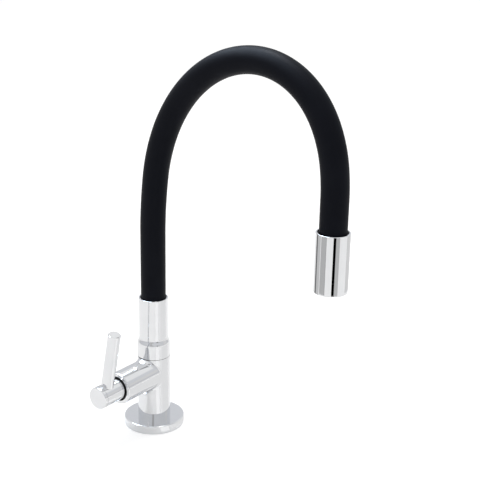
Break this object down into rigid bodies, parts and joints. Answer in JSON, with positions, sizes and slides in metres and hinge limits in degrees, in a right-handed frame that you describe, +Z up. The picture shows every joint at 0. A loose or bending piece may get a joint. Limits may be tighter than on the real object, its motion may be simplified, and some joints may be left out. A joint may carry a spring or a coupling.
{
  "type": "flexible kitchen tap",
  "caption": "Deck-mounted kitchen tap with a side lever valve, a swivelling collar and a bendable black hose spout ending in a chromed outlet with an aerator.",
  "frame": {"origin": "centre of the flange's underside, on the worktop", "axes": "+Z up; the spout reaches towards -Y; the valve branch and its lever point towards -X"},
  "size_m": [0.1109, 0.2461, 0.4507],
  "materials": {
    "chromed_brass": "mirror-polished chrome plating",
    "bare_brass": "machined brass",
    "stainless_steel": "drawn stainless steel",
    "black_rubber": "matt black rubber",
    "sleeve_silicone": "smooth matt silicone",
    "water_tube_plastic": "satin plastic tube",
    "ceramic": "lapped white ceramic",
    "black_plastic": "moulded plastic",
    "white_plastic": "moulded plastic"
  },
  "bodies": {
    "root": {"base_flange": "chromed_brass", "base_seal": "black_rubber", "threaded_shank": "bare_brass", "deck_gasket": "black_rubber", "deck_washer": "stainless_steel", "fixing_nut": "bare_brass", "tap_body": "chromed_brass", "seat_seal": "black_rubber", "fixed_disc": "ceramic", "cartridge_body": "bare_brass", "cartridge_o_ring": "black_rubber", "hub_seal_ring": "black_rubber", "swivel_post": "bare_brass", "swivel_o_ring_lower": "black_rubber", "swivel_o_ring_upper": "black_rubber", "swivel_slide_washer": "black_plastic", "swivel_retaining_ring": "stainless_steel"},
    "handle": {"handle_hub": "chromed_brass", "hub_cap": "chromed_brass", "lever_bar": "chromed_brass", "handle_screw": "stainless_steel", "spindle": "bare_brass", "spindle_o_ring": "black_rubber", "circlip": "stainless_steel", "moving_disc": "ceramic"},
    "swivel": {"swivel_collar": "chromed_brass", "hose_fitting_lower": "bare_brass", "fitting_o_ring_lower": "black_rubber", "crimp_ring_lower": "stainless_steel", "collar_mouth_ring": "black_rubber", "neck_section_00": "stainless_steel", "hose_sleeve": "sleeve_silicone", "water_tube": "water_tube_plastic"},
    "neck_01": {"neck_section_01": "stainless_steel"},
    "neck_02": {"neck_section_02": "stainless_steel"},
    "neck_03": {"neck_section_03": "stainless_steel"},
    "neck_04": {"neck_section_04": "stainless_steel"},
    "neck_05": {"neck_section_05": "stainless_steel"},
    "neck_06": {"neck_section_06": "stainless_steel"},
    "neck_07": {"neck_section_07": "stainless_steel"},
    "neck_08": {"neck_section_08": "stainless_steel"},
    "neck_09": {"neck_section_09": "stainless_steel"},
    "neck_10": {"neck_section_10": "stainless_steel"},
    "neck_11": {"neck_section_11": "stainless_steel"},
    "neck_12": {"neck_section_12": "stainless_steel"},
    "neck_13": {"neck_section_13": "stainless_steel"},
    "neck_14": {"neck_section_14": "stainless_steel"},
    "outlet": {"neck_section_15": "stainless_steel", "outlet_shell": "chromed_brass", "hose_fitting_upper": "bare_brass", "fitting_o_ring_upper": "black_rubber", "crimp_ring_upper": "stainless_steel", "shell_mouth_ring": "black_rubber", "aerator_seal": "black_rubber", "aerator_housing": "chromed_brass", "aerator_insert": "white_plastic", "aerator_mesh": "stainless_steel"}
  },
  "joints": [
    {"name": "lever_turn", "type": "hinge", "parent": "root", "child": "handle", "pos_m": [-0.0691, 0, 0.0564], "axis": [1, 0, 0], "range_deg": [0, 90]},
    {"name": "spout_swivel", "type": "hinge", "parent": "root", "child": "swivel", "pos_m": [0, 0, 0.0744], "axis": [0, 0, 1], "continuous": true},
    {"name": "sway_1", "type": "hinge", "parent": "swivel", "child": "neck_01", "pos_m": [0, 0, 0.15], "axis": [0, 1, 0], "range_deg": [-10, 10], "deforming": ["hose_sleeve", "water_tube"]},
    {"name": "sway_2", "type": "hinge", "parent": "neck_01", "child": "neck_02", "pos_m": [0, 0, 0.172], "axis": [0, 1, 0], "range_deg": [-10, 10]},
    {"name": "sway_3", "type": "hinge", "parent": "neck_02", "child": "neck_03", "pos_m": [0, 0, 0.194], "axis": [0, 1, 0], "range_deg": [-10, 10]},
    {"name": "bend_01", "type": "hinge", "parent": "neck_03", "child": "neck_04", "pos_m": [0, -0.00394, 0.25804], "axis": [1, 0, 0], "range_deg": [-15, 3.5]},
    {"name": "bend_02", "type": "hinge", "parent": "neck_04", "child": "neck_05", "pos_m": [0, -0.01542, 0.30091], "axis": [1, 0, 0], "range_deg": [-15, 3.5]},
    {"name": "bend_03", "type": "hinge", "parent": "neck_05", "child": "neck_06", "pos_m": [0, -0.03453, 0.334], "axis": [1, 0, 0], "range_deg": [-15, 3.5]},
    {"name": "bend_04", "type": "hinge", "parent": "neck_06", "child": "neck_07", "pos_m": [0, -0.05774, 0.35721], "axis": [1, 0, 0], "range_deg": [-15, 3.5]},
    {"name": "bend_05", "type": "hinge", "parent": "neck_07", "child": "neck_08", "pos_m": [0, -0.08223, 0.37135], "axis": [1, 0, 0], "range_deg": [-15, 3.5]},
    {"name": "bend_06", "type": "hinge", "parent": "neck_08", "child": "neck_09", "pos_m": [0, -0.106, 0.37772], "axis": [1, 0, 0], "range_deg": [-15, 3.5]},
    {"name": "bend_07", "type": "hinge", "parent": "neck_09", "child": "neck_10", "pos_m": [0, -0.12789, 0.37772], "axis": [1, 0, 0], "range_deg": [-15, 3.5]},
    {"name": "bend_08", "type": "hinge", "parent": "neck_10", "child": "neck_11", "pos_m": [0, -0.14745, 0.37248], "axis": [1, 0, 0], "range_deg": [-15, 3.5]},
    {"name": "bend_09", "type": "hinge", "parent": "neck_11", "child": "neck_12", "pos_m": [0, -0.16472, 0.36251], "axis": [1, 0, 0], "range_deg": [-15, 3.5]},
    {"name": "bend_10", "type": "hinge", "parent": "neck_12", "child": "neck_13", "pos_m": [0, -0.17947, 0.34776], "axis": [1, 0, 0], "range_deg": [-15, 3.5]},
    {"name": "bend_11", "type": "hinge", "parent": "neck_13", "child": "neck_14", "pos_m": [0, -0.19149, 0.32695], "axis": [1, 0, 0], "range_deg": [-15, 3.5]},
    {"name": "bend_12", "type": "hinge", "parent": "neck_14", "child": "outlet", "pos_m": [0, -0.19944, 0.29727], "axis": [1, 0, 0], "range_deg": [-15, 3.5]}
  ],
  "couplings": [
    {"joint": "sway_2", "follows": "sway_1", "ratio": 1},
    {"joint": "sway_3", "follows": "sway_1", "ratio": 1},
    {"joint": "bend_02", "follows": "bend_01", "ratio": 1},
    {"joint": "bend_03", "follows": "bend_01", "ratio": 1},
    {"joint": "bend_04", "follows": "bend_01", "ratio": 1},
    {"joint": "bend_06", "follows": "bend_05", "ratio": 1},
    {"joint": "bend_07", "follows": "bend_05", "ratio": 1},
    {"joint": "bend_08", "follows": "bend_05", "ratio": 1},
    {"joint": "bend_10", "follows": "bend_09", "ratio": 1},
    {"joint": "bend_11", "follows": "bend_09", "ratio": 1},
    {"joint": "bend_12", "follows": "bend_09", "ratio": 1}
  ]
}
